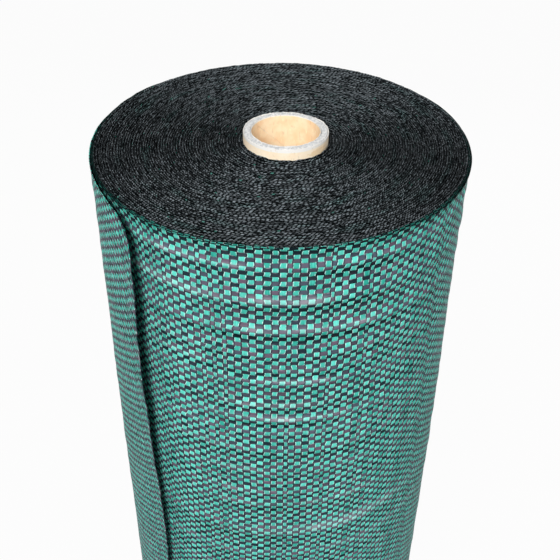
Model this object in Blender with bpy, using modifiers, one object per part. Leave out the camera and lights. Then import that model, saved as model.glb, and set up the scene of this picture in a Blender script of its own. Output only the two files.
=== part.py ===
# Roll of woven weed control fabric, standing on end, wound on a paper core.
# Metres, +Z up. The origin is on the floor, in the middle of the roll's outline.
# The free end of the cloth is at the front left, which is -Y and -X.

import math

import bmesh
import bpy
from mathutils import Matrix, Vector, kdtree

# Cloth and roll
fabric_width = 1.000
roll_diameter = 0.2088
sheet_thickness = 0.00035
turn_gap = 0.00050
touch_gap = 0.00030
turn_lift = 0.0010

# Paper core
core_bore = 0.0380
core_wall = 0.0045
core_proud = 0.0047
core_offset = 0.0025
ply_thickness = 0.0004
ply_seam = 0.0008
ply_angle = math.radians(45.0)

# Tape that holds the first turn to the core
tape_width = 0.025
tape_thickness = 0.0002
tape_end_margin = 0.020
tape_angle = math.radians(90.0)

# Free end of the cloth
end_root_angle = math.radians(163.0)
end_length = 0.125
end_opening_top = 0.0085
end_opening_bottom = 0.0040
end_corner_radius = 0.030
end_wave = 0.0040
end_wave_length = 0.300
end_wave_start = 0.020
hinge_gap = 0.0008

# Facet counts
turn_sides = 96
core_sides = 30
end_root_columns = 10
end_corner_columns = 6
end_rows = 34
least_facet_share = 0.05

# Sizes that follow
roll_radius = roll_diameter / 2
turn_pitch = sheet_thickness + turn_gap
core_outer_radius = core_bore / 2 + core_wall
core_length = fabric_width + core_proud
core_centre = Vector((core_offset, 0.0, 0.0))
hinge_radius = roll_radius - sheet_thickness / 2
root_direction = Vector((math.cos(end_root_angle), math.sin(end_root_angle), 0.0))
run_direction = Vector((-math.sin(end_root_angle), math.cos(end_root_angle), 0.0))
hinge_point = root_direction * hinge_radius


# Scene and shared helpers

for old in list(bpy.data.objects):
    bpy.data.objects.remove(old, do_unlink=True)

parts = bpy.data.collections.new("weed_control_fabric_roll")
bpy.context.scene.collection.children.link(parts)


def plain_material(name, colour, roughness):
    """A Principled material of one colour."""
    material = bpy.data.materials.new(name)
    material.use_nodes = True
    shader = material.node_tree.nodes["Principled BSDF"]
    shader.inputs["Base Color"].default_value = (*colour, 1.0)
    shader.inputs["Roughness"].default_value = roughness
    shader.inputs["Metallic"].default_value = 0.0
    material.diffuse_color = (*colour, 1.0)
    return material


def place(name, data, material, location=(0.0, 0.0, 0.0)):
    """Link new data as a named part."""
    part = bpy.data.objects.new(name, data)
    part.location = location
    part.data.materials.append(material)
    parts.objects.link(part)
    return part


def polar(radius, angle):
    """A point of the floor plane at a radius and an angle from +X."""
    return Vector((radius * math.cos(angle), radius * math.sin(angle), 0.0))


def smooth_round(part):
    """Shade the walls smooth and keep the cut ends sharp."""
    part.data.shade_smooth()
    part.data.set_sharp_from_angle(angle=math.radians(40.0))


def outline_solid(name, outlines, bottom, top, material, location=(0.0, 0.0, 0.0)):
    """Extrude flat outlines, the later ones being holes, from bottom to top."""
    curve = bpy.data.curves.new(name, "CURVE")
    curve.dimensions = "2D"
    curve.fill_mode = "BOTH"
    curve.extrude = (top - bottom) / 2
    for outline in outlines:
        spline = curve.splines.new("POLY")
        spline.points.add(len(outline) - 1)
        for point, corner in zip(spline.points, outline):
            point.co = (corner.x, corner.y, 0.0, 1.0)
        spline.use_cyclic_u = True
    centre = Vector(location) + Vector((0.0, 0.0, (bottom + top) / 2))
    return place(name, curve, material, centre)


def sheet_solid(name, mesh, thickness, offset, material, location=(0.0, 0.0, 0.0)):
    """Give an open surface the thickness of a sheet."""
    sheet = place(name, mesh, material, location)
    solidify = sheet.modifiers.new("thickness", "SOLIDIFY")
    solidify.thickness = thickness
    solidify.offset = offset
    smooth_round(sheet)
    return sheet


# Paper core: a thin liner, the board wall and a thin cover, each glued to the next.
# The liner and the cover are one strip each, wound in a helix edge to edge.


def core_tube(name, inner, outer, bottom, top, material):
    """A straight tube turned about the core's axis."""
    mesh = bpy.data.meshes.new(name)
    profile = bmesh.new()
    corners = ((outer, top), (outer, bottom), (inner, bottom), (inner, top))
    rim = [profile.verts.new((radius, 0.0, height)) for radius, height in corners]
    for start, end in zip(rim, rim[1:] + rim[:1]):
        profile.edges.new((start, end))
    profile.to_mesh(mesh)
    profile.free()
    tube = place(name, mesh, material, core_centre)
    turn = tube.modifiers.new("turn", "SCREW")
    turn.steps = core_sides
    turn.render_steps = core_sides
    turn.use_smooth_shade = False
    return tube


def facet_angles(start, end):
    """The core's facet angles between two angles, with the two ends."""
    step = math.tau / core_sides
    first = math.ceil(start / step + least_facet_share)
    last = math.floor(end / step - least_facet_share)
    return [start] + [k * step for k in range(first, last + 1)] + [end]


def wound_ply(name, radius, material):
    """One ply of paper wound in a helix from the floor to the top of the core."""
    lead = math.tau * radius * math.tan(ply_angle)
    covered = lead - ply_seam
    first = -math.tau * covered / lead
    cut = math.tau * (core_length - covered) / lead
    last = math.tau * core_length / lead
    angles = facet_angles(first, 0.0) + facet_angles(0.0, cut)[1:] + facet_angles(cut, last)[1:]

    mesh = bpy.data.meshes.new(name)
    strip = bmesh.new()
    columns = []
    for angle in angles:
        low = max(0.0, lead * angle / math.tau)
        high = min(core_length, lead * angle / math.tau + covered)
        foot = strip.verts.new(polar(radius, angle) + Vector((0.0, 0.0, low)))
        head = foot
        if first < angle < last:
            head = strip.verts.new(polar(radius, angle) + Vector((0.0, 0.0, high)))
        columns.append((foot, head))
    for (foot, head), (next_foot, next_head) in zip(columns, columns[1:]):
        corners = list(dict.fromkeys((foot, next_foot, next_head, head)))
        strip.faces.new(corners)
    strip.to_mesh(mesh)
    strip.free()
    return sheet_solid(name, mesh, ply_thickness, 1.0, material, core_centre)


liner_radius = core_bore / 2
board_inner = liner_radius + ply_thickness + touch_gap
board_outer = core_outer_radius - ply_thickness - touch_gap
cover_radius = core_outer_radius - ply_thickness

wound_ply("core_liner_ply", liner_radius, plain_material("liner_paper", (0.76, 0.53, 0.32), 0.85))
core_tube(
    "core_board_plies",
    board_inner,
    board_outer,
    0.0,
    core_length,
    plain_material("core_board", (0.72, 0.64, 0.54), 0.9),
)
wound_ply("core_cover_ply", cover_radius, plain_material("cover_paper", (0.80, 0.76, 0.68), 0.8))


# Double-sided tape along the core, under the first turn of cloth

tape_inner = core_outer_radius + touch_gap
tape_outer = tape_inner + tape_thickness
tape_half_angle = tape_width / tape_inner / 2
tape_span = facet_angles(tape_angle - tape_half_angle, tape_angle + tape_half_angle)
tape_outline = [polar(tape_inner, angle) for angle in tape_span]
tape_outline += [polar(tape_outer, angle) for angle in reversed(tape_span)]
outline_solid(
    "start_tape",
    [tape_outline],
    tape_end_margin,
    fabric_width - tape_end_margin,
    plain_material("clear_tape", (0.75, 0.72, 0.60), 0.35),
    core_centre,
)


# Wound cloth: the plain body of the inner turns. Its outline is the spiral that the
# outermost turn lies on, with one step where that turn leaves it.


def outer_face_radius(angle):
    """Radius of the outermost turn's outer face, at an angle counted from the root."""
    return roll_radius - turn_pitch * (1.0 - angle / math.tau)


turn_angles = [math.tau * k / turn_sides for k in range(turn_sides + 1)]
body_outline = [
    polar(outer_face_radius(angle) - turn_pitch, end_root_angle + angle) for angle in turn_angles
]

bore_clear = core_outer_radius + touch_gap
recess_clear = tape_outer + touch_gap
recess_half_angle = tape_half_angle + touch_gap / tape_inner
recess_start = tape_angle - recess_half_angle
recess_end = tape_angle + recess_half_angle
bore_outline = [
    core_centre + polar(bore_clear, angle)
    for angle in facet_angles(recess_end, recess_start + math.tau)
]
bore_outline += [
    core_centre + polar(recess_clear, angle) for angle in facet_angles(recess_start, recess_end)
]
wound_fabric = outline_solid(
    "wound_fabric",
    [body_outline, bore_outline],
    0.0,
    fabric_width,
    plain_material("black_cloth_edges", (0.035, 0.045, 0.050), 0.6),
)


# Outermost turn: one layer of cloth from the step once round to the root of the free end


def turn_span():
    """Angles of the outermost turn, drawn back from the step and from the hinge."""
    start_gap = touch_gap / roll_radius
    end_gap = hinge_gap / roll_radius
    return [start_gap] + turn_angles[1:-1] + [math.tau - end_gap]


turn_outer_face = [polar(outer_face_radius(a), end_root_angle + a) for a in turn_span()]
turn_inner_face = [
    polar(outer_face_radius(a) - sheet_thickness, end_root_angle + a) for a in turn_span()
]
outline_solid(
    "outer_turn",
    [turn_outer_face + turn_inner_face[::-1]],
    turn_lift,
    fabric_width - turn_lift,
    plain_material("woven_cloth", (0.10, 0.36, 0.30), 0.45),
)


# Free end of the cloth: it leaves the roll in a wider curve, stands off it at the edge,
# and has a rounded top corner and a slow wave down its edge. It swings about its root.


def end_opening(height):
    """How far the free edge stands off the roll at a height."""
    rise = height / fabric_width
    eased = rise * rise * (3.0 - 2.0 * rise)
    return end_opening_bottom + (end_opening_top - end_opening_bottom) * eased


def end_point(along, height):
    """Point of the free end's middle surface, from the hinge, along the cloth and up."""
    below_top = fabric_width - height
    wave = -end_wave * math.sin(math.tau * (below_top - end_wave_start) / end_wave_length)
    run = along * (1.0 + wave / end_length)
    widening = end_opening(height) / (1.0 - math.cos(end_length / hinge_radius))
    radius = hinge_radius + widening
    turned = run / radius
    outward = radius * math.cos(turned) - radius
    forward = radius * math.sin(turned)
    return root_direction * outward + run_direction * forward + Vector((0.0, 0.0, height))


def end_columns():
    """Distance along the cloth and top height of each column of the free end."""
    straight_end = end_length - end_corner_radius
    columns = []
    for k in range(end_root_columns):
        along = hinge_gap + (straight_end - hinge_gap) * k / end_root_columns
        columns.append((along, fabric_width))
    for k in range(end_corner_columns + 1):
        turned = math.pi / 2 * k / end_corner_columns
        along = straight_end + end_corner_radius * math.sin(turned)
        top = fabric_width - end_corner_radius * (1.0 - math.cos(turned))
        columns.append((along, top))
    return columns


def free_end_mesh():
    """Grid of the free end, bent to its curve."""
    mesh = bpy.data.meshes.new("loose_end")
    columns = end_columns()
    cloth = bmesh.new()
    bmesh.ops.create_grid(
        cloth,
        x_segments=len(columns) - 1,
        y_segments=end_rows,
        size=fabric_width / 2,
        matrix=Matrix.Identity(4),
    )
    for vertex in cloth.verts:
        across_share = vertex.co.x / fabric_width + 0.5
        up_share = vertex.co.y / fabric_width + 0.5
        along, top = columns[round(across_share * (len(columns) - 1))]
        vertex.co = end_point(along, turn_lift + (top - turn_lift) * up_share)
    cloth.to_mesh(mesh)
    cloth.free()
    return mesh


sheet_solid(
    "loose_end",
    free_end_mesh(),
    sheet_thickness,
    0.0,
    plain_material("woven_cloth_end", (0.12, 0.40, 0.33), 0.45),
    hinge_point,
)


# The winding's least gap to itself: the free end over the turn that it lies on


def least_gap(points, others):
    """Least distance between two rows of points."""
    tree = kdtree.KDTree(len(others))
    for index, point in enumerate(others):
        tree.insert(point, index)
    tree.balance()
    return min(tree.find(point)[2] for point in points)


samples = 4000
turn_points = [
    polar(outer_face_radius(math.tau * k / samples), end_root_angle + math.tau * k / samples)
    for k in range(1, samples)
]
for share in (0.0, 0.5, 1.0):
    height = fabric_width * share
    end_points = []
    for k in range(samples):
        along = hinge_gap + (end_length - hinge_gap) * k / samples
        middle = hinge_point + end_point(along, height)
        middle.z = 0.0
        end_points.append(middle)
    gap = least_gap(end_points, turn_points[: samples // 2]) - sheet_thickness / 2
    print(f"least gap of the winding to itself at {share:.0%} of its height: {gap * 1000:.3f} mm")
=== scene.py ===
# A roll of woven weed control cloth, standing on end on its paper core.
# Metres, +Z up. The photographed front is -Y, and the loose end is at the front left.

import math

import bpy
import numpy as np
from mathutils import Matrix, Vector


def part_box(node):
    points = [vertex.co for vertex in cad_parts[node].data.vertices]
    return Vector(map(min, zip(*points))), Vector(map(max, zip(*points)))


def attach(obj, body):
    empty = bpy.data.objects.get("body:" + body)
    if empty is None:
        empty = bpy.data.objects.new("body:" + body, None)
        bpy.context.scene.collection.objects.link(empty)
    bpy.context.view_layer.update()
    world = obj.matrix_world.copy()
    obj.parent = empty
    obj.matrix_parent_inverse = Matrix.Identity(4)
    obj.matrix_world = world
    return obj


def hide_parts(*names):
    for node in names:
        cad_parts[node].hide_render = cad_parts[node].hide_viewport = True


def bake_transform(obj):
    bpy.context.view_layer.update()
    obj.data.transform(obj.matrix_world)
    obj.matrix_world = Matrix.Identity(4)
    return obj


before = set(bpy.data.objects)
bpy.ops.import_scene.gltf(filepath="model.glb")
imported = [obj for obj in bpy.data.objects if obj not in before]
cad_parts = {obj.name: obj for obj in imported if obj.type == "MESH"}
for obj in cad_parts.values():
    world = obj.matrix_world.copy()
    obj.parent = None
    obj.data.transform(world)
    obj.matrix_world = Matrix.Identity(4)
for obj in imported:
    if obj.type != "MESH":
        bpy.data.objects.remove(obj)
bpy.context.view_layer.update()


# Core board
# The wall of the paper tube: several plies of grey board wound together with glue.
# The saw leaves its cut rim pale and furry.

core_low, core_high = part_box("core_board_plies")
core_x = (core_low.x + core_high.x) / 2
rim_rise = 0.0006
core_bottom, core_top = core_low.z, core_high.z + rim_rise
bore_radius = 0.0190
core_radius = 0.0235
ply_thickness = 0.0004
glue_gap = 0.0003
core_steps = 180
rim_rings = 10
rim_drops = (0.0030, 0.0009)
board_band = 0.0005
rim_fur = 0.00030
fur_width, fur_ring = 0.0011, 0.0009
clump_furs, clump_ring = 6.0, 0.0035
rim_slant = 0.0018
smooth_angle = math.radians(50.0)
rim_white = (0.93, 0.92, 0.89)
rim_grey = (0.60, 0.61, 0.62)
scuff_white = (0.90, 0.88, 0.84)


def eased(share):
    """A share from 0 to 1, made to start and stop smoothly."""
    return share * share * (3.0 - 2.0 * share)


def patches(x, y, seed, around, rows=512):
    """Smooth noise between -1 and 1 over a sheet, repeating along x after around cells."""
    values = np.random.default_rng(seed).uniform(-1.0, 1.0, (around, rows))
    column, row = np.floor(x).astype(int), np.floor(y).astype(int)
    across, up = eased(x - column), eased(y - row)
    left, right = column % around, (column + 1) % around
    row, above = row % rows, (row + 1) % rows
    low = values[left, row] * (1.0 - across) + values[right, row] * across
    high = values[left, above] * (1.0 - across) + values[right, above] * across
    return low * (1.0 - up) + high * up


def points_of(piece):
    """A piece's vertices as an array."""
    points = np.empty(len(piece.data.vertices) * 3)
    piece.data.vertices.foreach_get("co", points)
    return points.reshape(-1, 3)


def upright_points(radius, angle, height, centre=0.0):
    """Points about an upright axis from their radius, angle and height."""
    places = (centre + radius * np.cos(angle), radius * np.sin(angle), height)
    return np.stack(np.broadcast_arrays(*places), axis=2)


def place_points(piece, points):
    """Move a piece's vertices to an array of places."""
    piece.data.vertices.foreach_set("co", np.ascontiguousarray(points, dtype=np.float32).ravel())
    piece.data.update()


def new_grid(name, columns, rows):
    """A flat grid whose vertices run along a row first, then up."""
    bpy.ops.object.select_all(action="DESELECT")
    bpy.ops.mesh.primitive_grid_add(x_subdivisions=columns, y_subdivisions=rows, size=1.0)
    piece = bpy.context.object
    piece.name = name
    piece.data.name = name
    return piece


def choose(piece):
    """Select one piece and make it the one that is worked on."""
    bpy.ops.object.select_all(action="DESELECT")
    piece.select_set(True)
    bpy.context.view_layer.objects.active = piece


def edit(piece, *steps):
    """Run edit-mode steps on a piece with all of it selected first."""
    choose(piece)
    bpy.ops.object.mode_set(mode="EDIT")
    bpy.ops.mesh.select_all(action="SELECT")
    for step in steps:
        step()
    bpy.ops.object.mode_set(mode="OBJECT")


def weld_seam():
    """Join vertices that share a place."""
    bpy.ops.mesh.remove_doubles(threshold=0.000002)


def face_outwards():
    """Point all faces out of a closed mesh."""
    bpy.ops.mesh.normals_make_consistent(inside=False)


def new_finish(name):
    """A material, its tree and its Principled shader."""
    material = bpy.data.materials.new(name)
    material.use_nodes = True
    tree = material.node_tree
    return material, tree, tree.nodes["Principled BSDF"]


def wire(tree, kind, inputs=(), **settings):
    """Add a node, with its settings, and link or set its inputs by number or name."""
    made = tree.nodes.new("ShaderNode" + kind)
    for setting, value in settings.items():
        setattr(made, setting, value)
    for socket, value in dict(inputs).items():
        if isinstance(value, bpy.types.NodeSocket):
            tree.links.new(value, made.inputs[socket])
        else:
            made.inputs[socket].default_value = value
    return made


def sums(tree, operation, *values):
    """One Math node's result."""
    return wire(tree, "Math", dict(enumerate(values)), operation=operation).outputs[0]


def times(tree, first, second):
    """Two values multiplied."""
    return sums(tree, "MULTIPLY", first, second)


def blend_colours(tree, share, low, high):
    """Mix two colours by a share."""
    mixed = wire(tree, "Mix", {0: share}, data_type="RGBA", clamp_factor=True)
    for socket, colour in (("A", low), ("B", high)):
        slot = [s for s in mixed.inputs if s.name == socket and s.type == "RGBA"][0]
        if isinstance(colour, bpy.types.NodeSocket):
            tree.links.new(colour, slot)
        else:
            slot.default_value = (*colour, 1.0)
    return [s for s in mixed.outputs if s.type == "RGBA"][0]


def between(tree, value, low, high):
    """0 below low, 1 above high and smooth between them."""
    ramp = wire(tree, "MapRange", {0: value, 1: low, 2: high}, interpolation_type="SMOOTHSTEP")
    return ramp.outputs[0]


def show(tree, shader, tone, strength, distance, height):
    """Put a colour and a relief on a shader."""
    tree.links.new(tone, shader.inputs["Base Color"])
    bump = wire(tree, "Bump", {"Strength": strength, "Distance": distance, "Height": height})
    tree.links.new(bump.outputs[0], shader.inputs["Normal"])


def object_place(tree):
    """A point's own place on the piece, in metres."""
    return wire(tree, "TexCoord").outputs["Object"]


def object_noise(tree, scale, detail=2.0, stretch=(1.0, 1.0, 1.0)):
    """Noise over a piece's own coordinates, between 0 and 1."""
    mapped = wire(tree, "Mapping", {0: object_place(tree), 3: stretch}).outputs[0]
    return wire(tree, "TexNoise", {"Vector": mapped, "Scale": scale, "Detail": detail}).outputs[0]


def paper_finish(
    name, colour, shadow, grain, fur, stretch=(1.0, 1.0, 1.0), scuff=0.0, torn=None, mottle=160.0
):
    """Matt paper with blotches and fibres, scuffed white at the saw cut, maybe torn in one place."""
    material, tree, shader = new_finish(name)
    blotches = object_noise(tree, mottle, 3.0)
    fibres = object_noise(tree, grain, 4.0, stretch)
    stain = between(tree, blotches, 0.30, 0.72)
    tone = blend_colours(tree, stain, shadow, colour)
    speck = between(tree, fibres, 0.62, 0.75)
    light = tuple(min(1.0, part * 1.12 + 0.02) for part in colour)
    tone = blend_colours(tree, times(tree, speck, 0.7), tone, light)
    dark = tuple(part * 0.78 for part in shadow)
    if torn:
        off = wire(tree, "VectorMath", {0: object_place(tree), 1: torn["place"]}, operation="SUBTRACT")
        off = wire(tree, "VectorMath", {0: off.outputs[0], 1: torn["reach"]}, operation="DIVIDE")
        apart = wire(tree, "VectorMath", {0: off.outputs[0]}, operation="LENGTH").outputs[1]
        ragged = sums(tree, "MULTIPLY_ADD", object_noise(tree, 900.0, 3.0), 0.9, apart)
        tone = blend_colours(tree, between(tree, ragged, 1.45, 1.25), tone, torn["colour"])
    if scuff:
        height = wire(tree, "SeparateXYZ", {0: object_place(tree)}).outputs[2]
        below = sums(tree, "DIVIDE", sums(tree, "SUBTRACT", core_top, height), scuff)
        ragged = sums(tree, "MULTIPLY_ADD", object_noise(tree, 700.0, 4.0), 1.4, below)
        tone = blend_colours(tree, between(tree, ragged, 1.75, 1.40), tone, scuff_white)
    pit = times(tree, between(tree, fibres, 0.42, 0.30), 0.55)
    tone = blend_colours(tree, pit, tone, dark)
    shader.inputs["Roughness"].default_value = 0.9
    shader.inputs["Specular IOR Level"].default_value = 0.25
    show(tree, shader, tone, 0.8, fur, fibres)
    return material


def tube_profile(inner, outer, bottom, top, rings):
    """Radius and height round a tube's wall: up the outside, over the rim and down."""
    levels = [bottom] + [top - drop for drop in rim_drops]
    profile = [(outer, level) for level in levels]
    for ring in range(rings + 1):
        profile.append((outer + (inner - outer) * ring / rings, top))
    profile += [(inner, level) for level in reversed(levels)]
    return np.array(profile)


def turned_wall(name, profile, centre_x, steps):
    """A closed ring of a profile's points, turned about an upright axis."""
    piece = new_grid(name, steps, len(profile))
    turn = np.linspace(0.0, math.tau, steps + 1)
    ring = np.append(profile, profile[:1], axis=0)
    place_points(piece, upright_points(ring[:, :1], turn, ring[:, 1:], centre_x))
    edit(piece, weld_seam, face_outwards)
    return piece


def ruffle(piece, band, height, seed):
    """Slant and roughen the top band of a tube, as the saw and torn fibres leave it."""
    points = points_of(piece)
    spoke = points[:, :2] - (core_x, 0.0)
    radius = np.linalg.norm(spoke, axis=1)
    cells = round(math.tau * core_radius / fur_width)
    around = np.arctan2(spoke[:, 1], spoke[:, 0]) / math.tau * cells
    furs = patches(around, radius / fur_ring, seed, cells)
    clumps = patches(around / clump_furs, radius / clump_ring, seed + 1, round(cells / clump_furs))
    slant = rim_slant * 0.5 * (1.0 - points[:, 1] / core_radius)
    rise = slant + height * (0.7 * furs + 0.6 * clumps - 0.3)
    points[:, 2] += np.where(points[:, 2] > core_top - band, rise, 0.0)
    place_points(piece, points)


board_inner = bore_radius + ply_thickness + glue_gap
board_outer = core_radius - ply_thickness - glue_gap
core_board = turned_wall(
    "core_board_wall",
    tube_profile(board_inner, board_outer, core_bottom, core_top, rim_rings),
    core_x,
    core_steps,
)
ruffle(core_board, board_band, rim_fur, 11)
core_board.data.materials.append(
    paper_finish("sawn_board", rim_white, rim_grey, 1500.0, 0.0003, (1.0, 1.0, 0.6), mottle=800.0)
)
bpy.ops.object.shade_smooth_by_angle(angle=smooth_angle)
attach(core_board, "roll")
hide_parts("core_board_plies")


# Core liner
# The tan kraft paper inside the bore: one strip wound in a helix with its edges
# butted together, which is what a spindle slides on.

ply_angle = math.radians(45.0)
ply_rows = 3
paper_band = 0.0002
liner_seam = 0.00015
liner_scuff = 0.0002
liner_tan = (0.96, 0.79, 0.55)
liner_shade = (0.92, 0.66, 0.40)


def thicken(piece, name, thickness, offset):
    """Give a chosen sheet its thickness and smooth it but for its sharp edges."""
    wall = piece.modifiers.new(name, "SOLIDIFY")
    wall.thickness = thickness
    wall.offset = offset
    bpy.ops.object.modifier_apply(modifier=name)
    bpy.ops.object.shade_smooth_by_angle(angle=smooth_angle)


def wound_ply(name, radius, thickness, seam, steps):
    """A paper strip wound in a helix from one cut end of the core to the other."""
    lead = math.tau * radius * math.tan(ply_angle)
    first, last = -1.0, core_top / lead
    columns = math.ceil((last - first) * steps)
    piece = new_grid(name, columns, ply_rows)
    turns = np.linspace(first, last, columns + 1)
    lower = np.clip(turns * lead, core_bottom, core_top)
    upper = np.clip(turns * lead + lead - seam, core_bottom, core_top)
    height = np.linspace(lower, upper, ply_rows + 1)
    place_points(piece, upright_points(radius, turns * math.tau, height, core_x))
    edit(piece, weld_seam)
    thicken(piece, "paper", thickness, 1.0)
    return piece


core_liner = wound_ply("core_liner_paper", bore_radius, ply_thickness, liner_seam, 120)
ruffle(core_liner, paper_band, rim_fur, 21)
core_liner.data.materials.append(
    paper_finish("tan_liner", liner_tan, liner_shade, 700.0, 0.00012, (1.0, 1.0, 0.35), liner_scuff)
)
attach(core_liner, "roll")
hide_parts("core_liner_ply")


# Core cover
# The smooth pale paper outside the core, wound like the liner. Only its top few
# millimetres stand out of the cloth, scuffed white where the saw came through.

cover_seam = 0.0002
cover_scuff = 0.0003
cover_cream = (0.98, 0.86, 0.68)
cover_shade = (0.96, 0.79, 0.58)
torn_angle, torn_drop = math.radians(-40.0), 0.0032
torn_patch = {
    "place": (
        core_x + core_radius * math.cos(torn_angle),
        core_radius * math.sin(torn_angle),
        core_top - torn_drop,
    ),
    "reach": (0.0085, 0.0085, 0.0020),
    "colour": (0.90, 0.70, 0.45),
}

core_cover = wound_ply(
    "core_cover_paper", core_radius - ply_thickness, ply_thickness, cover_seam, 150
)
ruffle(core_cover, paper_band, rim_fur * 1.3, 31)
core_cover.data.materials.append(
    paper_finish(
        "cream_cover", cover_cream, cover_shade, 900.0, 0.00015, (1.0, 1.0, 0.5), cover_scuff, torn_patch
    )
)
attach(core_cover, "roll")
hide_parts("core_cover_ply")


# Start tape
# A strip of double-sided tape along the core, under the first turn of cloth, that
# gives the winding its grip. Nothing shows it, so the frame's own solid stays.


def tape_finish():
    """Clear adhesive tape with a slight amber cast."""
    material, tree, shader = new_finish("adhesive_tape")
    mottle = object_noise(tree, 240.0, 3.0)
    amber = blend_colours(tree, between(tree, mottle, 0.35, 0.7), (0.62, 0.55, 0.36), (0.74, 0.68, 0.50))
    shader.inputs["Roughness"].default_value = 0.25
    show(tree, shader, amber, 0.3, 0.0001, mottle)
    return material


start_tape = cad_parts["start_tape"]
start_tape.data.materials.clear()
start_tape.data.materials.append(tape_finish())


# Wound cloth
# The inner turns of the cloth. Their cut edges make the dark end face: a true spiral
# of wavy edges, grouped and uneven, with cut green tape ends here and there.

cloth_bottom, cloth_top = (corner.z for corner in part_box("wound_fabric"))
root_angle = math.radians(163.0)
roll_radius = 0.1044
turn_pitch = 0.00085
edge_pitch = 0.00045
shown_turns = 56
turn_width_shares = (0.70, 1.30)
edge_turns = 3
steady_turns = 2.0
wound_steps = 600
core_gap = 0.0003
crest_drop = 0.0003
groove_depth = 0.00110
groove_length = 0.006
proud_edge, proud_length = 0.00050, 0.045
core_crowd, core_crowd_turns = 0.0015, 4.0
rim_slack, slack_turns = 0.0007, 5.0
# Each wave's height, then its length along the cut edge, or in turns for the groups, and its seed.
group_waves = ((0.00006, 4.3, 41), (0.00010, 1.0, 42))
height_waves = ((0.00008, 0.0085, 43), (0.00014, 0.0034, 44), (0.00022, 0.0016, 50))
side_waves = ((0.00022, 0.0036, 47), (0.00012, 0.0017, 48))

bore_clear = core_radius + core_gap
wound_outside = roll_radius - turn_pitch - edge_turns * edge_pitch
turn_widths = np.random.default_rng(40).uniform(*turn_width_shares, shown_turns)
turn_widths *= (wound_outside - bore_clear) / turn_widths.sum()
turn_edges = bore_clear + np.append(0.0, np.cumsum(np.append(turn_widths, edge_pitch)))
turn_runs = math.pi * (turn_edges[1:] + turn_edges[:-1])
turn_runs = np.append(0.0, np.cumsum(turn_runs))


def winding_radius(turns):
    """Radius of the spiral after a number of turns from the bore, some wider than others."""
    return np.interp(turns, np.arange(shown_turns + 2), turn_edges)


def from_front(angle):
    """An angle about the roll, counted from the photographed front, from -pi to pi."""
    return (angle + math.pi / 2 + math.pi) % math.tau - math.pi


def front_lift(angle):
    """How much higher the outermost edges stand at the front, where the turns are slack."""
    return rim_slack * np.exp(-((from_front(angle) / 0.50) ** 2))


def within(share):
    """A share kept from falling below 0 or rising above 1."""
    return np.clip(share, 0.0, 1.0)


def wander(x, seed, cells=8192):
    """Smooth noise between -1 and 1 along a line, one new value at each whole x."""
    values = np.random.default_rng(seed).uniform(-1.0, 1.0, cells)
    cell = np.floor(x).astype(int)
    ease = eased(x - cell)
    return values[cell % cells] * (1.0 - ease) + values[(cell + 1) % cells] * ease


def waves(x, kinds):
    """The sum of several kinds of wave, each with a height, a length and a seed."""
    return sum(height * wander(x / length, seed) for height, length, seed in kinds)


def wound_body():
    """The spiral end face of the inner turns, crest and groove by turns."""
    rings = 2 * shown_turns
    piece = new_grid("wound_cloth", wound_steps, rings)
    share = np.linspace(0.0, 1.0, wound_steps + 1)[None, :]
    ring = np.arange(rings + 1)[:, None]
    turns = ring / 2 + share
    crest = ring % 2 == 0
    radius = winding_radius(turns)
    run = np.interp(turns, np.arange(shown_turns + 2), turn_runs)
    outward = within((radius - bore_clear) / (roll_radius - bore_clear))
    angle = root_angle + math.tau * share

    uneven = waves(turns, group_waves) + waves(run, height_waves)
    proud = proud_edge * within(wander(run / proud_length, 45) - 0.45)
    by_core = core_crowd * np.exp(-(turns / core_crowd_turns))
    slack = front_lift(angle) * within((turns - shown_turns) / slack_turns + 1.0)
    height = cloth_top - crest_drop + uneven + proud + by_core + slack
    depth = groove_depth * (1.0 + 0.4 * wander(run / groove_length, 46))
    height = np.where(crest, height, height - depth)
    sideways = waves(run, side_waves) * within((shown_turns - turns) / steady_turns)
    radius = radius + np.where(crest, sideways, 0.4 * sideways)

    place_points(piece, upright_points(radius, angle, height, core_x * (1.0 - outward)))
    arc = math.tau * share * winding_radius(ring / 2)
    lay_map(piece, "winding", arc, ring / 2 + 0.0 * share)
    return piece


def lay_map(piece, name, across, up):
    """Give a piece a UV map from one value per vertex each way."""
    layer = piece.data.uv_layers.new(name=name)
    corners = np.empty(len(piece.data.loops), dtype=int)
    piece.data.loops.foreach_get("vertex_index", corners)
    flat = np.stack(np.broadcast_arrays(across, up), axis=-1).reshape(-1, 2)
    layer.uv.foreach_set("vector", flat[corners].astype(np.float32).ravel())


wound_cloth = wound_body()
edit(wound_cloth, weld_seam)

# The hidden wall's heights, and how far it comes out on the way down to each.
wall_rows = (
    (cloth_top - 0.006, -0.0026),
    (cloth_top - 0.016, -0.0006),
    (cloth_bottom + 0.016, 0.0),
    (cloth_bottom, 0.0022),
)
lower_end_rings = 24
lower_end_spokes = 90
lower_end_fray, fray_ring = 0.0005, 0.003
inner_margin, outer_margin = 0.003, 0.004
level_tolerance = 0.0001


def drop_rim(level, outwards):
    """Draw the open edges of the wound cloth down to a level, the outer one in or out."""
    bpy.ops.mesh.select_mode(type="EDGE")
    bpy.ops.mesh.extrude_edges_move()
    bpy.ops.object.mode_set(mode="OBJECT")
    points = points_of(wound_cloth)
    chosen = np.empty(len(points), dtype=bool)
    wound_cloth.data.vertices.foreach_get("select", chosen)
    outer = chosen & (np.linalg.norm(points[:, :2], axis=1) > roll_radius / 2)
    points[chosen, 2] = level
    points[outer, :2] *= 1.0 + outwards / roll_radius
    place_points(wound_cloth, points)
    bpy.ops.object.mode_set(mode="EDIT")


def wall_and_lower_end():
    """The hidden wall, drawn in behind the outer turns, and the lower end face."""
    bpy.ops.mesh.select_all(action="DESELECT")
    bpy.ops.mesh.select_mode(type="EDGE")
    bpy.ops.mesh.select_non_manifold()
    for level, outwards in wall_rows:
        drop_rim(level, outwards)
    bpy.ops.mesh.bridge_edge_loops(number_cuts=lower_end_rings, interpolation="LINEAR")


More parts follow.
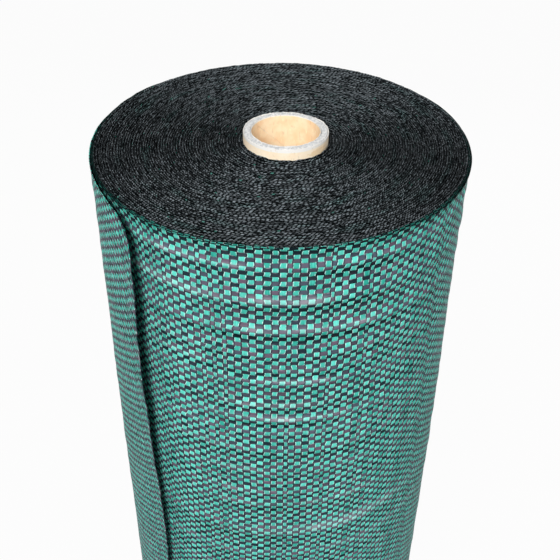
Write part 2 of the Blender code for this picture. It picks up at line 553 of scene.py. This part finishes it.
edit(wound_cloth, wall_and_lower_end, face_outwards)


def roughen_lower_end():
    """Uneven edges on the lower end too, none below the floor."""
    points = points_of(wound_cloth)
    radius = np.linalg.norm(points[:, :2], axis=1)
    low = points[:, 2] < cloth_bottom + level_tolerance
    clear = (radius > core_radius + inner_margin) & (radius < roll_radius - outer_margin)
    around = np.arctan2(points[:, 1], points[:, 0]) / math.tau * lower_end_spokes
    rough = patches(around, radius / fray_ring, 49, lower_end_spokes)
    points[:, 2] += np.where(low & clear, lower_end_fray * (1.0 + rough), 0.0)
    place_points(wound_cloth, points)


roughen_lower_end()

cut_dash = 0.0018
faint_length = 0.0055
turn_bunch, bunch_drift = 0.00225, 0.0060
streak_ring, cast_ring = 0.0021, 0.0060
dash_relief = 0.00025


def cut_edge_finish():
    """Black tape edges side by side, each a short dash with maybe a painted glint, and rare green ends.
    """
    material, tree, shader = new_finish("cut_cloth_edges")

    # Where a point is: along its turn, across its half of a turn, and outwards from the axis.
    flat = wire(tree, "UVMap", uv_map="winding").outputs[0]
    split = wire(tree, "SeparateXYZ", {0: flat})
    arc, lane = split.outputs[0], sums(tree, "MULTIPLY_ADD", split.outputs[1], 2.0, 0.5)
    lane_index = sums(tree, "FLOOR", lane)
    in_lane = sums(tree, "SUBTRACT", sums(tree, "SUBTRACT", lane, lane_index), 0.5)

    place = object_place(tree)
    level = wire(tree, "VectorMath", {0: place, 1: (1.0, 1.0, 0.0)}, operation="MULTIPLY").outputs[0]
    reach = wire(tree, "VectorMath", {0: level}, operation="LENGTH").outputs[1]
    around = wire(tree, "VectorMath", {0: level}, operation="NORMALIZE").outputs[0]
    spoke = wire(tree, "SeparateXYZ", {0: around})
    # Front and back of the roll, where the painted glints come evenly and in bunches.
    facing = between(tree, sums(tree, "ABSOLUTE", spoke.outputs[1]), 0.35, 0.85)

    def chance(column, row, offset):
        """White noise, one value for each whole column and row."""
        cell = wire(tree, "CombineXYZ", {0: column, 1: row, 2: offset}).outputs[0]
        return wire(tree, "TexWhiteNoise", {0: cell}, noise_dimensions="3D").outputs[0]

    # The dashes: one cut tape end each, shifted and tilted a little.
    skew = times(tree, times(tree, spoke.outputs[0], spoke.outputs[1]), 0.20)
    skewed = sums(tree, "MULTIPLY_ADD", skew, reach, arc)
    start = times(tree, chance(0.0, lane_index, 1.0), 0.4)
    start = sums(tree, "MULTIPLY_ADD", lane_index, 0.5, start)
    dash = sums(tree, "ADD", sums(tree, "DIVIDE", skewed, cut_dash), start)
    dash_index = sums(tree, "FLOOR", dash)
    in_dash = sums(tree, "SUBTRACT", sums(tree, "SUBTRACT", dash, dash_index), 0.5)
    tilt = sums(tree, "MULTIPLY_ADD", chance(dash_index, lane_index, 2.0), 0.9, -0.45)
    shift = sums(tree, "MULTIPLY_ADD", chance(dash_index, lane_index, 4.0), 0.5, -0.25)
    aside = sums(tree, "SUBTRACT", in_lane, sums(tree, "MULTIPLY_ADD", in_dash, tilt, shift))
    line = between(tree, sums(tree, "ABSOLUTE", aside), 0.40, 0.08)
    ends = between(tree, sums(tree, "ABSOLUTE", in_dash), 0.44, 0.16)
    shape = times(tree, line, ends)

    # How the painted glints fall: unevenly at the sides, evenly at the front and back, and less in a
    # groove.
    spread = sums(tree, "MULTIPLY_ADD", facing, -0.95, 1.45)
    bright = times(tree, chance(dash_index, lane_index, 3.0), spread)
    bright = sums(tree, "MULTIPLY_ADD", facing, 0.50, bright)
    along, across = sums(tree, "DIVIDE", arc, faint_length), times(tree, lane_index, 3.7)
    slow = wire(tree, "CombineXYZ", {0: along, 1: across}).outputs[0]
    slow = wire(tree, "TexNoise", {"Vector": slow, "Scale": 1.0, "Detail": 1.0}).outputs[0]
    bright = times(tree, bright, between(tree, slow, 0.00, 0.42))
    glint = times(tree, shape, bright)
    in_groove = sums(tree, "MODULO", lane_index, 2.0)
    glint = times(tree, glint, sums(tree, "MULTIPLY_ADD", in_groove, -0.60, 1.0))

    def polar_noise(spokes, ring_width):
        """Streaks that follow the turns."""
        turned = wire(tree, "VectorMath", {0: around, "Scale": spokes}, operation="SCALE").outputs[0]
        rise = wire(tree, "CombineXYZ", {2: sums(tree, "DIVIDE", reach, ring_width)}).outputs[0]
        polar = wire(tree, "VectorMath", {0: turned, 1: rise}, operation="ADD").outputs[0]
        return wire(tree, "TexNoise", {"Vector": polar, "Scale": 1.0, "Detail": 2.0}).outputs[0]

    # The painted glints come in bunches of turns at the front and back, where the tape ends lie across
    # the view.
    warp = times(tree, polar_noise(7.0, bunch_drift), 1.6 * math.tau)
    bunch = sums(tree, "SINE", sums(tree, "MULTIPLY_ADD", reach, math.tau / turn_bunch, warp))
    bunch = times(tree, bunch, times(tree, facing, 0.45))
    glint = times(tree, glint, sums(tree, "ADD", bunch, 1.0))

    # Black cloth with a grey bloom, painted pale glints and a few green ends.
    fine = object_noise(tree, 1100.0, 3.0)
    streaks = times(tree, polar_noise(7.0, streak_ring), 0.55)
    shade = sums(tree, "MULTIPLY_ADD", fine, 0.45, streaks)
    black, grey = (0.0002, 0.0005, 0.0006), (0.0022, 0.0034, 0.0040)
    tone = blend_colours(tree, between(tree, shade, 0.36, 0.66), black, grey)
    cast = between(tree, polar_noise(3.0, cast_ring), 0.50, 0.80)
    pale = blend_colours(tree, cast, (0.205, 0.235, 0.255), (0.14, 0.23, 0.23))
    tone = blend_colours(tree, glint, tone, pale)
    rare = sums(tree, "GREATER_THAN", chance(dash_index, lane_index, 5.0), 0.994)
    green = times(tree, rare, shape)
    tone = blend_colours(tree, times(tree, green, 0.7), tone, (0.02, 0.22, 0.16))

    rough = wire(tree, "MapRange", {0: glint, 1: 0.0, 2: 0.5, 3: 0.62, 4: 0.30}).outputs[0]
    tree.links.new(rough, shader.inputs["Roughness"])
    shader.inputs["Specular IOR Level"].default_value = 0.02
    relief = sums(tree, "MULTIPLY_ADD", glint, 0.8, fine)
    show(tree, shader, tone, 0.8, dash_relief, relief)
    return material


wound_cloth.data.materials.append(cut_edge_finish())
bpy.ops.object.shade_flat()


# Last inner turns
# The three turns of cloth below the outermost one. Each stands a little higher than the
# one outside it, so their woven faces show as narrow steps inside the rim.

sheet_thickness = 0.00035
level_tape = 1.0 / 375
upright_tape = 0.0035
full_turn_tapes = round(math.tau * roll_radius / upright_tape)
outer_edge_drop = 0.0009
edge_step = 0.00015
rim_flare = 0.0013
rim_flare_depth = 0.0055
flare_end = 0.050
flare_fade = 0.150
# Each wave's height, its length along the cut edge and its seed.
rim_waves = ((0.00040, 0.028, 51), (0.00024, 0.0052, 52))
strip_depths = (0.0, 0.0012, 0.0030, 0.0055)
strip_map_start = 0.004
rows_on_map = 400.0
map_gap = 0.005


def face_radius(turned):
    """Radius of the cloth's outer face, at an angle counted on from the root."""
    pitch = np.where(turned < 0.0, edge_pitch, turn_pitch)
    return roll_radius - turn_pitch + pitch * turned / math.tau


def rim_dip(depth):
    """How far the cloth is drawn in below its wider rim."""
    down = eased(within(depth / rim_flare_depth))
    back = eased(within((depth - flare_end) / flare_fade))
    return -rim_flare * down * (1.0 - back)


def rim_shade(front):
    """How much painted shade the cloth gets at its cut edge: less at the front, and deepest past the
    sides.
    """
    behind = within((np.abs(front) - 1.1) / 0.4)
    return 1.85 - 0.60 * np.exp(-((front / 0.9) ** 2)) + 0.75 * behind


def cut_edge(turned):
    """Height of the cloth's cut edge along the roll, from the outermost turn inwards."""
    run = (turned + (edge_turns + 1) * math.tau) * roll_radius
    inner = np.clip(-turned / math.tau, 0.0, None)
    height = cloth_top - outer_edge_drop + edge_step * inner
    return height + waves(run, rim_waves) + front_lift(root_angle + turned)


def fit_bake_map(piece, faces, inner_share):
    """Squeeze the inner skin's part of the map that looks are baked through to one side."""
    layer = piece.data.uv_layers["OFBake"]
    flat = np.empty(len(piece.data.loops) * 2)
    layer.uv.foreach_get("vector", flat)
    flat = flat.reshape(-1, 2)
    outer = np.arange(len(flat)) < faces * 4
    kept = 1.0 - map_gap - inner_share
    flat[:, 0] = np.where(outer, flat[:, 0] * kept, 1.0 - flat[:, 0] * inner_share)
    layer.uv.foreach_set("vector", flat.astype(np.float32).ravel())


def woven_sheet(name, points, across, depth, crest, inner_share):
    """A cloth from its rows of points, with its weave's map, its painted highlight and shade, and both
    faces.
    """
    rows, columns = points.shape[0] - 1, points.shape[1] - 1
    piece = new_grid(name, columns, rows)
    place_points(piece, points)
    # The painted highlight and shade, stored as the crest attribute.
    painted_light_layer = piece.data.attributes.new("crest", "FLOAT", "POINT")
    painted_light_layer.data.foreach_set("value", np.ascontiguousarray(crest, dtype=np.float32).ravel())
    lay_map(piece, "weave", across, rows_on_map - depth / level_tape)
    share_across = (across - across.min()) / np.ptp(across)
    lay_map(piece, "OFBake", share_across, (depth.max() - depth) / np.ptp(depth))
    choose(piece)
    thicken(piece, "cloth", sheet_thickness, 0.0)
    fit_bake_map(piece, rows * columns, inner_share)
    return piece


def last_inner_turns():
    """One strip along the top of three turns, from the outermost turn's start inwards."""
    tapes = edge_turns * full_turn_tapes
    turned = -np.linspace(0.0, edge_turns * math.tau, tapes + 1)[None, ::-1]
    height = cut_edge(turned) - np.array(strip_depths)[:, None]
    depth = cloth_top - height
    radius = face_radius(turned) - sheet_thickness / 2 + rim_dip(np.clip(depth, 0.0, None))
    points = upright_points(radius, root_angle + turned, height)
    across = np.arange(tapes + 1)[None, :] + 0.0 * depth
    # The strip gets the rim's painted shade.
    crest = -rim_shade(from_front(turned + root_angle)) + 0.0 * depth
    return woven_sheet("last_inner_turns", points, across, depth + strip_map_start, crest, 0.3)


green_width_share, black_width_share = 0.80, 0.97
tape_relief = 0.00024


def woven_finish():
    """Plain weave of glossy plastic tapes: green upright, black level."""
    material, tree, shader = new_finish("woven_tapes")
    flat = wire(tree, "UVMap", uv_map="weave").outputs[0]
    raw = wire(tree, "SeparateXYZ", {0: flat})

    def tape_noise(across, up, seed, detail=1.0):
        """Noise over the weave, with so many waves to a tape across it and up it."""
        sideways = times(tree, raw.outputs[0], across)
        upwards = times(tree, raw.outputs[1], up)
        place = wire(tree, "CombineXYZ", {0: sideways, 1: upwards, 2: seed}).outputs[0]
        return wire(tree, "TexNoise", {"Vector": place, "Scale": 1.0, "Detail": detail}).outputs[0]

    # The cells: each tape's own column or row, pushed about and leaning as slack tapes do.
    push = sums(tree, "MULTIPLY_ADD", tape_noise(0.9, 0.9, 3.0), 0.30, -0.15)
    lift = sums(tree, "MULTIPLY_ADD", tape_noise(0.8, 1.1, 9.0), 0.30, -0.15)
    up = sums(tree, "ADD", raw.outputs[1], lift)
    row = sums(tree, "FLOOR", up)
    in_row = sums(tree, "SUBTRACT", up, row)
    lean = sums(tree, "MULTIPLY_ADD", tape_noise(0.16, 0.30, 31.0), -0.6, 0.22)
    lean = times(tree, lean, sums(tree, "SUBTRACT", in_row, 0.5))
    across = sums(tree, "ADD", sums(tree, "ADD", raw.outputs[0], push), lean)
    column = sums(tree, "FLOOR", across)
    in_column = sums(tree, "SUBTRACT", across, column)
    black_up = sums(tree, "MODULO", sums(tree, "ADD", column, row), 2.0)

    def off_middle(share):
        """0 on a tape's middle line and 1 at its edges."""
        return sums(tree, "ABSOLUTE", sums(tree, "MULTIPLY_ADD", share, 2.0, -1.0))

    side, end = off_middle(in_column), off_middle(in_row)
    beside = sums(tree, "GREATER_THAN", side, green_width_share)
    above = sums(tree, "GREATER_THAN", end, black_width_share)
    above = times(tree, above, sums(tree, "SUBTRACT", 1.0, beside))
    black_shown = wire(tree, "Mix", {0: black_up, 2: beside, 3: sums(tree, "SUBTRACT", 1.0, above)})

    def crown(along, sideways, flat_power):
        """Height of a tape that bows over the one below it and has rounded sides."""
        over = sums(tree, "SQRT", sums(tree, "SUBTRACT", 1.0, sums(tree, "POWER", along, 2.0)))
        shoulder = sums(tree, "SUBTRACT", 1.0, sums(tree, "POWER", sideways, flat_power))
        return times(tree, over, shoulder)

    green_height = crown(end, side, 7.0)
    black_height = times(tree, crown(side, end, 5.0), 0.85)
    height = wire(tree, "Mix", {0: black_up, 2: green_height, 3: black_height}).outputs[0]

    def hashed(value, offset):
        """White noise, one value for each tape."""
        moved = sums(tree, "ADD", value, offset)
        return wire(tree, "TexWhiteNoise", {1: moved}, noise_dimensions="1D").outputs[0]

    column_tone, row_tone = hashed(column, 0.5), hashed(row, 91.5)
    cell = wire(tree, "CombineXYZ", {0: column, 1: row})
    cell_tone = wire(tree, "TexWhiteNoise", {0: cell.outputs[0]}, noise_dimensions="2D").outputs[0]
    upright_streak = tape_noise(9.0, 0.5, 17.0, 2.0)
    level_streak = tape_noise(0.5, 8.0, 23.0, 2.0)

    # Painted light from the crest attribute: a painted highlight on a ridge, painted shade in a fold,
    # and deeper painted shade in the rim.
    crest = wire(tree, "Attribute", attribute_name="crest").outputs["Fac"]
    painted_ridge_highlight, painted_fold_shade = between(tree, crest, 0.05, 0.95), between(tree, crest, -0.02, -0.85)
    # The rim's deep painted shade.
    hidden = times(tree, between(tree, crest, -1.05, -1.8), 0.96)

    # Green tapes, with painted fold shade and ridge highlight, and painted highlights on their folded
    # borders.
    green_shade = sums(tree, "MULTIPLY_ADD", column_tone, 0.25, times(tree, cell_tone, 0.30))
    green_shade = sums(tree, "MULTIPLY_ADD", upright_streak, 0.6, green_shade)
    deep_green, light_green = (0.022, 0.330, 0.255), (0.140, 0.740, 0.615)
    green = blend_colours(tree, between(tree, green_shade, 0.22, 0.92), deep_green, light_green)
    # Painted shade in the folds, then a painted highlight on the ridges.
    green = blend_colours(tree, times(tree, painted_fold_shade, 0.22), green, (0.012, 0.200, 0.155))
    green = blend_colours(tree, times(tree, painted_ridge_highlight, 0.60), green, (0.45, 0.95, 0.88))
    # Painted highlights where the tapes' folded sides catch the light.
    border = between(tree, side, 0.52, 0.76)
    folded = times(tree, border, between(tree, tape_noise(2.3, 1.4, 47.0), 0.38, 0.60))
    green = blend_colours(tree, times(tree, folded, 0.85), green, (0.74, 0.97, 0.95))

    # Black tapes: a painted sheen, painted shade where they bend under the green, painted highlight
    # lines on some.
    black_shade = sums(tree, "MULTIPLY_ADD", row_tone, 0.50, times(tree, cell_tone, 0.25))
    black_shade = sums(tree, "MULTIPLY_ADD", level_streak, 0.5, black_shade)
    # The painted sheen of the black tapes, slate or plum from tape to tape.
    slate, plum = (0.090, 0.106, 0.146), (0.142, 0.106, 0.150)
    sheen = blend_colours(tree, between(tree, cell_tone, 0.45, 0.95), slate, plum)
    black = blend_colours(tree, between(tree, black_shade, 0.26, 0.92), (0.013, 0.027, 0.036), sheen)
    # Painted shade in the folds, then a painted highlight on the ridges.
    black = blend_colours(tree, times(tree, painted_fold_shade, 0.85), black, (0.001, 0.008, 0.010))
    black = blend_colours(tree, times(tree, painted_ridge_highlight, 0.50), black, (0.36, 0.34, 0.41))
    outline = sums(tree, "MAXIMUM", side, sums(tree, "DIVIDE", end, black_width_share))
    # Painted shade where a tape bends under its neighbours.
    painted_bend_shade = times(tree, between(tree, outline, 0.72, 1.0), 0.60)
    black = blend_colours(tree, painted_bend_shade, black, (0.002, 0.014, 0.016))
    # A painted highlight line near some tapes' ends, none in the folds.
    lit = between(tree, tape_noise(1.7, 2.3, 61.0), 0.46, 0.66)
    lit = times(tree, lit, between(tree, end, 0.62, 0.86))
    lit = times(tree, lit, sums(tree, "MULTIPLY_ADD", painted_fold_shade, -0.6, 0.6))
    black = blend_colours(tree, lit, black, (0.46, 0.43, 0.52))

    # Both together, with painted glare on the ridges and painted shade in the corners between the tapes
    # and in the rim.
    tone = blend_colours(tree, black_shown.outputs[0], green, black)
    # Painted glare on the ridges, in patches.
    patchy = between(tree, tape_noise(0.22, 0.40, 53.0), 0.50, 0.72)
    glare = times(tree, times(tree, painted_ridge_highlight, patchy), 0.45)
    tone = blend_colours(tree, glare, tone, (0.74, 0.74, 0.79))
    # Painted shade in the corners between the tapes.
    painted_corner_shade = between(tree, sums(tree, "MINIMUM", side, end), 0.66, 0.92)
    painted_corner_shade = times(tree, painted_corner_shade, 0.60)
    tone = blend_colours(tree, painted_corner_shade, tone, (0.002, 0.012, 0.012))
    # The rim's painted shade over all.
    tone = blend_colours(tree, hidden, tone, (0.001, 0.006, 0.006))

    rough = wire(tree, "MapRange", {0: cell_tone, 1: 0.0, 2: 1.0, 3: 0.30, 4: 0.46}).outputs[0]
    tree.links.new(rough, shader.inputs["Roughness"])
    shader.inputs["Specular IOR Level"].default_value = 0.008
    fibres = wire(tree, "Mix", {0: black_up, 2: upright_streak, 3: level_streak}).outputs[0]
    relief = sums(tree, "MULTIPLY_ADD", fibres, 0.25, height)
    show(tree, shader, tone, 1.0, tape_relief, relief)
    return material


woven = woven_finish()
edge_strip = last_inner_turns()
edge_strip.data.materials.append(woven)
choose(wound_cloth)
edge_strip.select_set(True)
bpy.ops.object.join()
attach(wound_cloth, "roll")
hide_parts("wound_fabric")


# Outermost turn
# One layer of plain weave: black tapes run round the roll and green tapes stand
# upright. It lies over the uneven turns below, which press level ridges into it.

lead_in_tapes = 4
ridge_height = 0.0016
ridge_fall = 0.0042
# Share of a ridge's rise, then of its height, then its painted light: highlight above nought, shade
# below.
ridge_rise_shares = ((0.0, 0.0, -0.1), (0.42, 0.20, 0.2), (0.78, 0.84, 0.9), (1.0, 1.0, 0.9))
# The same for its fall, which gets painted shade.
ridge_fall_shares = ((0.5, 0.42, -0.5), (1.0, 0.0, -1.0))
# Depths below the top edge, each with its share of the rim's painted shade, minus because it is dark.
rim_rows = ((0.0, -1.0), (0.0009, -0.8), (0.0028, -0.4), (0.0070, -0.05))
least_row = 0.0006
# Each ridge's depth below the top edge, the length of its rise and its share of the height.
photographed_ridges = (
    (0.0113, 0.0050, 0.85),
    (0.0322, 0.0104, 1.00),
    (0.0503, 0.0076, 0.85),
    (0.0667, 0.0074, 0.60),
    (0.0757, 0.0054, 0.50),
    (0.0837, 0.0052, 0.50),
    (0.1007, 0.0060, 0.50),
    (0.1107, 0.0060, 0.60),
    (0.1210, 0.0060, 0.30),
    (0.1362, 0.0110, 0.60),
    (0.1523, 0.0080, 0.45),
    (0.1697, 0.0090, 0.40),
    (0.1797, 0.0060, 0.60),
    (0.2067, 0.0160, 0.75),
    (0.2280, 0.0100, 0.40),
    (0.2460, 0.0090, 0.40),
)
# The ridges below the photographed ones: the last one's depth, and the range of each size.
last_ridge = 0.93
ridge_spacing = (0.022, 0.044)
ridge_rise = (0.008, 0.018)
ridge_height_shares = (0.25, 0.70)
floor_gap = 0.001
sheet_top = cloth_top - outer_edge_drop
sheet_depth = sheet_top - cloth_bottom - floor_gap


def cloth_rows():
    """Depth, ridge number, share of the ridge's height and painted light of each row, from the top down.
    """
    rng = np.random.default_rng(61)
    ridges = list(photographed_ridges)
    while ridges[-1][0] < last_ridge:
        crest = ridges[-1][0] + rng.uniform(*ridge_spacing)
        ridges.append((crest, rng.uniform(*ridge_rise), rng.uniform(*ridge_height_shares)))
    rows = [(depth, 0, 0.0, painted_light) for depth, painted_light in rim_rows]
    for number, (crest, rise, share) in enumerate(ridges):
        steps = [(crest - rise * (1.0 - up), height, painted_light) for up, height, painted_light in ridge_rise_shares]
        steps += [(crest + ridge_fall * down, height, painted_light) for down, height, painted_light in ridge_fall_shares]
        for depth, height, painted_light in steps:
            if depth > rows[-1][0] + least_row:
                rows.append((depth, number, share * height, share * painted_light))
    rows.append((sheet_depth, number, 0.0, 0.0))
    depth, number, height, painted_light = (np.array(column)[:, None] for column in zip(*rows))
    return depth, number.astype(int), height, painted_light


row_depth, row_ridge, row_height, row_painted_light = cloth_rows()
row_drift, row_spread = 0.0009, 0.00001
calm_edge = 0.010
dent_depth, dent_height = 0.00022, 0.022
tape_width_shares, folded_width_share = (0.93, 1.07), 0.58


def ridged_cloth(turned):
    """Depth of every point along the cloth, how far ridges lift it, and their painted highlight and
    shade.
    """

    def round_the_roll(count, y, seed):
        """Noise that goes once round the roll in a number of patches."""
        return patches(turned / math.tau * count, y, seed, count)

    front = from_front(turned + root_angle)
    # Ridges stand higher towards the front, and their painted highlight and shade are strongest there.
    strong = 0.40 + 0.60 * np.exp(-(((front + 0.09) / 0.62) ** 2))
    drift = row_drift * round_the_roll(9, row_ridge + 0.5, 62)
    drift = drift * within(row_depth / calm_edge)
    drift = drift * within((sheet_depth - row_depth) / calm_edge)
    spread = row_spread * np.arange(len(row_depth))[:, None]
    depth = np.maximum.accumulate(row_depth + drift + spread, axis=0)
    depth = depth / depth[-1:] * sheet_depth
    patchy = np.clip(0.62 + 0.70 * round_the_roll(14, row_ridge + 0.5, 63), 0.08, 1.2) * strong
    dents = dent_depth * round_the_roll(26, depth / dent_height, 64)
    dents = dents * within(depth / calm_edge)
    # How strong each ridge's painted highlight and painted shade are, in patches.
    shiny = within(0.35 + 0.95 * round_the_roll(19, row_ridge + 0.5, 65)) * strong
    painted_shade_strength = 1.3 * np.maximum(patchy, 0.4 * strong)
    # Painted highlight on the rises, painted shade on the falls, and the rim's painted shade at the top.
    painted_light = np.clip(row_painted_light * np.where(row_painted_light > 0.0, 1.5 * shiny, painted_shade_strength), -1.0, 1.0)
    painted_light = np.where(row_depth <= rim_rows[-1][0], row_painted_light * rim_shade(front), painted_light)
    return depth, ridge_height * row_height * patchy + dents, painted_light


def tape_edges(count, seed, narrow_share):
    """Where the tapes' edges lie along the cloth as shares: most alike, some folded narrow."""
    rng = np.random.default_rng(seed)
    widths = rng.uniform(*tape_width_shares, count)
    widths[rng.uniform(size=count) < narrow_share] *= folded_width_share
    edges = np.append(0.0, np.cumsum(widths))
    return edges / edges[-1]


turn_tapes = full_turn_tapes - lead_in_tapes
turn_end = math.tau - lead_in_tapes * upright_tape / roll_radius
narrow_tape_share = 0.20
start_gap = 0.0003
edge_fade = 0.004
sway_reach, sway_height = 0.0014, 0.13
sway_start, sway_stop = 0.15, 0.03
lean_reach, lean_height = 0.0012, 0.07
held_angle = 0.3


def outer_cloth():
    """The outermost turn, from the step round to just short of the loose end's root."""
    start = start_gap / roll_radius
    turned = (start + (turn_end - start) * tape_edges(turn_tapes, 71, narrow_tape_share))[None, :]
    depth, lift, painted_light = ridged_cloth(turned)
    edge = (cut_edge(turned) - sheet_top) * within(1.0 - depth / edge_fade)
    row_map = depth - edge
    sway = sway_reach * patches(turned / math.tau * 9, depth / sway_height, 73, 9)
    sway = sway * within(depth / sway_start) * within((sheet_depth - depth) / sway_stop)
    height = sheet_top - depth + edge + sway
    radius = face_radius(turned) - sheet_thickness / 2 + rim_dip(depth) + lift
    held = within((turned - start) / held_angle) * within((turn_end - turned) / held_angle)
    lean = lean_reach * patches(turned / math.tau * 12, depth / lean_height, 74, 12) * held
    points = upright_points(radius, root_angle + turned + lean / roll_radius, height)
    across = np.arange(turn_tapes + 1)[None, :] + 0.0 * depth
    return woven_sheet("outer_cloth_turn", points, across, row_map, painted_light, 0.04)


outer_turn = outer_cloth()
outer_turn.data.materials.append(woven)
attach(outer_turn, "roll")
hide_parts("outer_turn")


# Loose end
# The last 125 mm of the same cloth, which stands off the roll with a rounded corner
# and a wavy cut edge. It bends at its root, where the winding lets go of it.

end_length = 0.1256
end_tapes = 35
end_opening_top = 0.0098
end_opening_bottom = 0.0048
end_slack = 0.0010
end_curl = 0.0015
end_curl_depth = 0.085
end_curl_length = 0.300
end_corner = 0.020
end_spring = 5.0
free_edge_waves = ((0.0005, 0.0021, 82), (0.0008, 0.021, 83))
end_dent, dent_length, dent_rise = 0.0004, 0.05, 0.075
edge_glint_length = 0.006
middle_radius = roll_radius - sheet_thickness / 2


def end_opening(depth):
    """How far the free edge stands off the roll, at a depth below the cloth's top."""
    rise = eased(within((cloth_top - depth) / cloth_top))
    opening = end_opening_bottom + (end_opening_top - end_opening_bottom) * rise
    curl = end_curl * np.cos(math.tau * (depth - end_curl_depth) / end_curl_length)
    return opening - end_slack + curl


def loose_cloth():
    """The cloth from just before the root to its free edge, curling off the roll."""
    before = -lead_in_tapes * upright_tape * (1.0 - np.arange(lead_in_tapes) / lead_in_tapes)
    along = np.append(before, tape_edges(end_tapes, 81, narrow_tape_share) * end_length)[None, :]
    nominal, lift, painted_light = ridged_cloth(math.tau + along / middle_radius)
    past_corner = np.clip(along - (end_length - end_corner), 0.0, end_corner)
    cut = end_corner - np.sqrt(end_corner**2 - past_corner**2)
    depth = cut + (sheet_depth - cut) * nominal / sheet_depth
    edge = cut_edge(math.tau + along / middle_radius) - sheet_top
    edge = edge * within(1.0 - nominal / edge_fade)
    height = sheet_top - depth + edge * within(1.0 - 2.0 * past_corner / end_corner)

    gone = within(along / end_length)
    free_edge = gone > 0.999
    run = along + waves(depth, free_edge_waves) * free_edge
    radius = middle_radius + end_opening(depth) * gone**end_spring
    steps = np.diff(run, axis=1)
    turned = np.sqrt(steps**2 - np.diff(radius, axis=1) ** 2) / radius[:, 1:]
    turned = np.concatenate((np.zeros((len(radius), 1)), np.cumsum(turned, axis=1)), axis=1)
    turned = turned - turned[:, lead_in_tapes : lead_in_tapes + 1]
    held = face_radius(math.tau + turned) - sheet_thickness / 2
    radius = np.where(along < 0.0, held, radius)
    radius = radius + lift * (1.0 - 0.6 * gone) + rim_dip(depth) * within(1.0 - 1.6 * gone)
    dents = end_dent * patches(along / dent_length + 40.0, depth / dent_rise, 84, 97)
    radius = radius + dents * gone
    points = upright_points(radius, root_angle + turned, height)
    across = np.arange(along.size)[None, :] + turn_tapes + 0.0 * depth
    # A painted highlight along the free cut edge; elsewhere the painted light fades along the loose end.
    painted_light = np.where(free_edge, 0.3 + 0.4 * wander(depth / edge_glint_length, 85), painted_light * (1.0 - 0.5 * gone))
    # Painted shade on the loose end is kept lighter away from its root.
    least = -1.9 + 1.4 * within(gone / 0.35)
    painted_light = np.where(along > 0.0, np.maximum(painted_light, least), painted_light)
    return woven_sheet("loose_cloth_end", points, across, depth, painted_light, 0.45)


loose_end = loose_cloth()
loose_end.data.materials.append(woven)
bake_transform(loose_end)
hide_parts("loose_end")


# Studio
# A pale floor under plain soft light, and a camera where the photographer stood.
# The floor and the room look white to the camera and give the roll soft light only.

floor_size = 30.0
floor_white = 0.96
lit_height = 0.9


def seen_plainly(tree):
    """1 where the camera, a reflection or a view through something looks, and 0 for light."""
    path = wire(tree, "LightPath")
    mirrored = sums(tree, "MAXIMUM", path.outputs["Is Glossy Ray"], path.outputs["Is Transmission Ray"])
    return sums(tree, "MAXIMUM", path.outputs["Is Camera Ray"], mirrored)


def pale_floor():
    """A wide floor that the camera sees as near white, with the roll's shadow on it."""
    bpy.ops.object.select_all(action="DESELECT")
    bpy.ops.mesh.primitive_plane_add(size=floor_size)
    floor = bpy.context.object
    floor.name = "studio_floor"
    material, tree, shader = new_finish("pale_floor")
    shader.inputs["Base Color"].default_value = (0.50, 0.50, 0.50, 1.0)
    shader.inputs["Roughness"].default_value = 0.9
    glow = wire(tree, "Emission", {0: (1.0, 1.0, 1.0, 1.0), 1: 1.0})
    clear = times(tree, seen_plainly(tree), floor_white)
    mixed = wire(tree, "MixShader", {0: clear, 1: shader.outputs[0], 2: glow.outputs[0]})
    tree.links.new(mixed.outputs[0], tree.nodes["Material Output"].inputs[0])
    floor.data.materials.append(material)


def soft_lamp(name, azimuth, elevation, away, width, height, power):
    """A soft light aimed at the upper part of the roll, placed by its bearing from the front."""
    lamp = bpy.data.lights.new(name, "AREA")
    lamp.shape = "RECTANGLE"
    lamp.size, lamp.size_y = width, height
    lamp.energy = power
    side, up = math.radians(azimuth), math.radians(elevation)
    out = Vector((math.sin(side) * math.cos(up), -math.cos(side) * math.cos(up), math.sin(up)))
    holder = bpy.data.objects.new(name, lamp)
    holder.location = Vector((0.0, 0.0, lit_height)) + out * away
    holder.rotation_euler = out.to_track_quat("Z", "Y").to_euler()
    bpy.context.scene.collection.objects.link(holder)


pale_floor()
soft_lamp("key_light", -13.0, 38.0, 2.0, 0.6, 0.6, 42.0)
soft_lamp("right_light", 75.0, 25.0, 2.2, 1.0, 1.0, 8.0)
soft_lamp("back_light", 172.0, 2.0, 2.2, 1.2, 0.8, 14.0)

world = bpy.data.worlds.new("pale_room")
world.use_nodes = True
bpy.context.scene.world = world
world_light = world.node_tree.nodes["Background"]
world_light.inputs["Color"].default_value = (1.0, 1.0, 1.0, 1.0)
room_light, room_white = 0.25, 0.97
plain = seen_plainly(world.node_tree)
room = sums(world.node_tree, "MULTIPLY_ADD", plain, room_white - room_light, room_light)
world.node_tree.links.new(room, world_light.inputs["Strength"])

camera_place = Vector((0.00036, -0.44449, 1.24247))
camera_pitch = math.radians(37.3595)
camera_roll = math.radians(0.7593)
camera_lens = 58.42

camera_data = bpy.data.cameras.new("camera")
camera_data.lens = camera_lens
camera_data.sensor_width = 36.0
camera_data.clip_start = 0.01
camera = bpy.data.objects.new("camera", camera_data)
turn_down = Matrix.Rotation(math.pi / 2 - camera_pitch, 4, "X")
turn_over = Matrix.Rotation(camera_roll, 4, "Z")
camera.matrix_world = Matrix.Translation(camera_place) @ turn_down @ turn_over
bpy.context.scene.collection.objects.link(camera)
bpy.context.scene.camera = camera
bpy.context.scene.view_settings.view_transform = "Standard"
